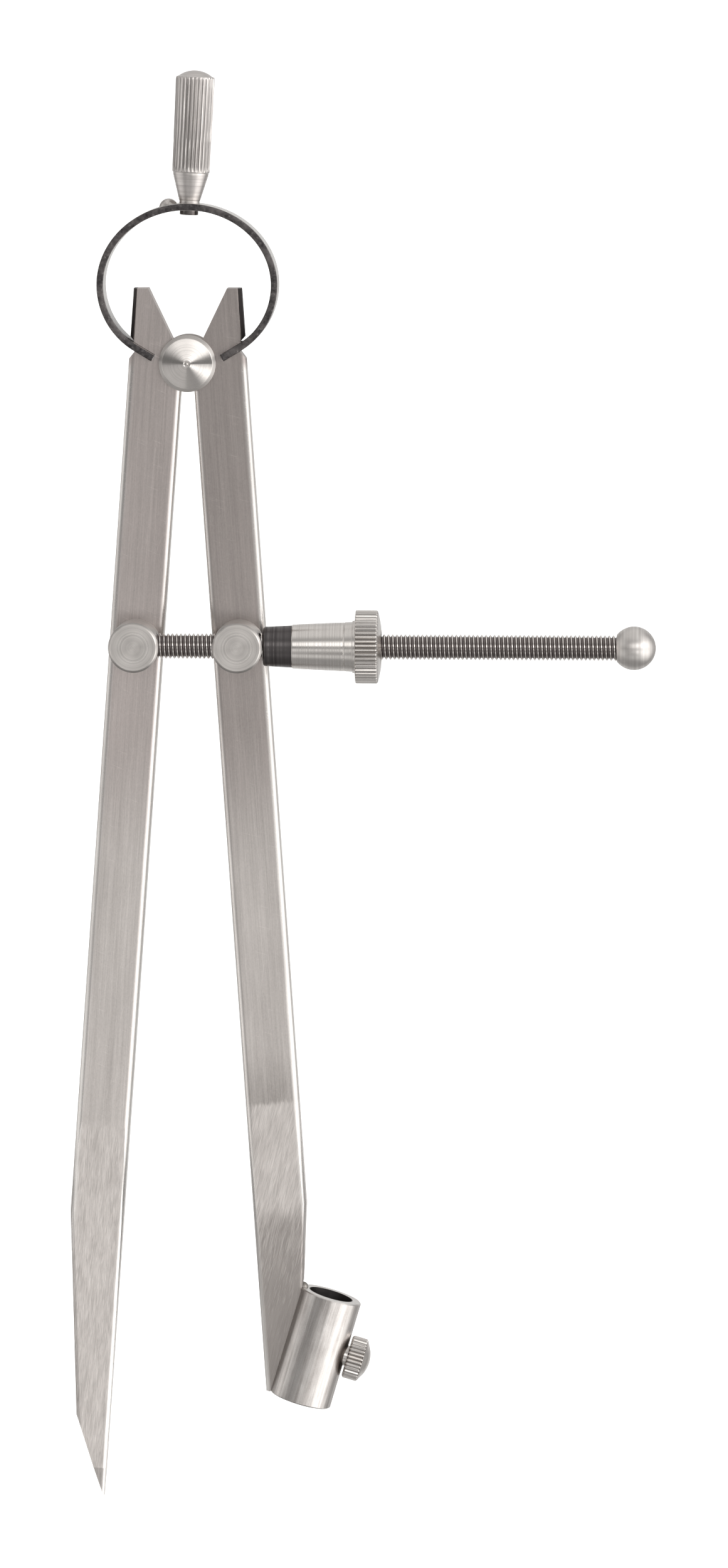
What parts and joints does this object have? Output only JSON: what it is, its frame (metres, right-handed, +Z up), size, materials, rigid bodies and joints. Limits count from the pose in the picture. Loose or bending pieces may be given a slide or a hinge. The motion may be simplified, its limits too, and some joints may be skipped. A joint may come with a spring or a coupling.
{
  "type": "drawing compass",
  "caption": "Bow-spring compass with two flat steel legs, a ground point, a clamped pencil socket, and a long threaded spindle with a knurled adjusting nut.",
  "frame": {"origin": "middle of the knurled grip of the handle, on the handle's axis, where the hand holds the compass", "axes": "+Z up along the compass, away from the points; +X towards the pencil leg and the spindle's ball; the adjusting screw is on the front, -Y"},
  "size_m": [0.1391, 0.025, 0.3412],
  "materials": {
    "leg_steel": "brushed lengthwise, ground ends",
    "turned_steel": "turned, bright",
    "spring_steel": "tempered strip with dark sheared edges",
    "screw_steel": "rolled thread, oiled",
    "black_steel": "blackened",
    "polished_steel": "polished",
    "braze": "as brazed, brushed over"
  },
  "bodies": {
    "bow": {"bow_spring": "spring_steel", "handle": "turned_steel", "handle_rivet": "turned_steel", "side_rivet": "turned_steel", "fulcrum_front_disc": "polished_steel", "fulcrum_roller": "turned_steel", "fulcrum_rear_disc": "turned_steel"},
    "left_leg": {"left_leg": "leg_steel"},
    "spindle": {"left_stud": "polished_steel", "left_stud_washer": "turned_steel", "adjusting_screw": "screw_steel", "end_ball": "polished_steel"},
    "right_leg": {"right_leg": "leg_steel", "pencil_tube": "turned_steel", "braze_bead": "braze"},
    "right_stud": {"right_stud": "polished_steel", "right_stud_washer": "turned_steel"},
    "nut": {"nut_core": "black_steel", "nut_sleeve": "polished_steel"},
    "clamp_shank": {"clamp_screw_shank": "turned_steel"},
    "clamp_head": {"clamp_screw_head": "turned_steel"}
  },
  "joints": [
    {"name": "left_leg_hinge", "type": "hinge", "parent": "bow", "child": "left_leg", "pos_m": [-0.00125, 0, -0.056], "axis": [0, 1, 0], "range_deg": [-4, 25], "deforming": ["bow_spring"]},
    {"name": "right_leg_hinge", "type": "hinge", "parent": "bow", "child": "right_leg", "pos_m": [-0.00125, 0, -0.056], "axis": [0, -1, 0], "range_deg": [-4, 25], "deforming": ["bow_spring"]},
    {"name": "left_stud_swivel", "type": "hinge", "parent": "left_leg", "child": "spindle", "pos_m": [-0.01347, 0, -0.1223], "axis": [0, -1, 0], "range_deg": [-4, 25]},
    {"name": "right_stud_swivel", "type": "hinge", "parent": "right_leg", "child": "right_stud", "pos_m": [0.01098, 0, -0.1223], "axis": [0, 1, 0], "range_deg": [-4, 25]},
    {"name": "nut_turn", "type": "hinge", "parent": "right_stud", "child": "nut", "pos_m": [0.03098, -0.0089, -0.1223], "axis": [1, 0, 0], "range_deg": [-3120, 19500]},
    {"name": "clamp_screw_slide", "type": "slide", "parent": "right_leg", "child": "clamp_shank", "axis": [-0.9596, 0, 0.2813], "range_m": [-0.0024, 0.0002]},
    {"name": "clamp_screw_turn", "type": "hinge", "parent": "clamp_shank", "child": "clamp_head", "pos_m": [0.03763, 0, -0.29395], "axis": [-0.9596, 0, 0.2813], "range_deg": [-1080, 90]}
  ],
  "couplings": [
    {"joint": "left_leg_hinge", "follows": "nut_turn", "ratio": 0.0012821},
    {"joint": "right_leg_hinge", "follows": "nut_turn", "ratio": 0.0012821},
    {"joint": "left_stud_swivel", "follows": "nut_turn", "ratio": 0.0012821},
    {"joint": "right_stud_swivel", "follows": "nut_turn", "ratio": 0.0012821},
    {"joint": "clamp_screw_turn", "follows": "clamp_screw_slide", "rad_per_m": 7854}
  ]
}
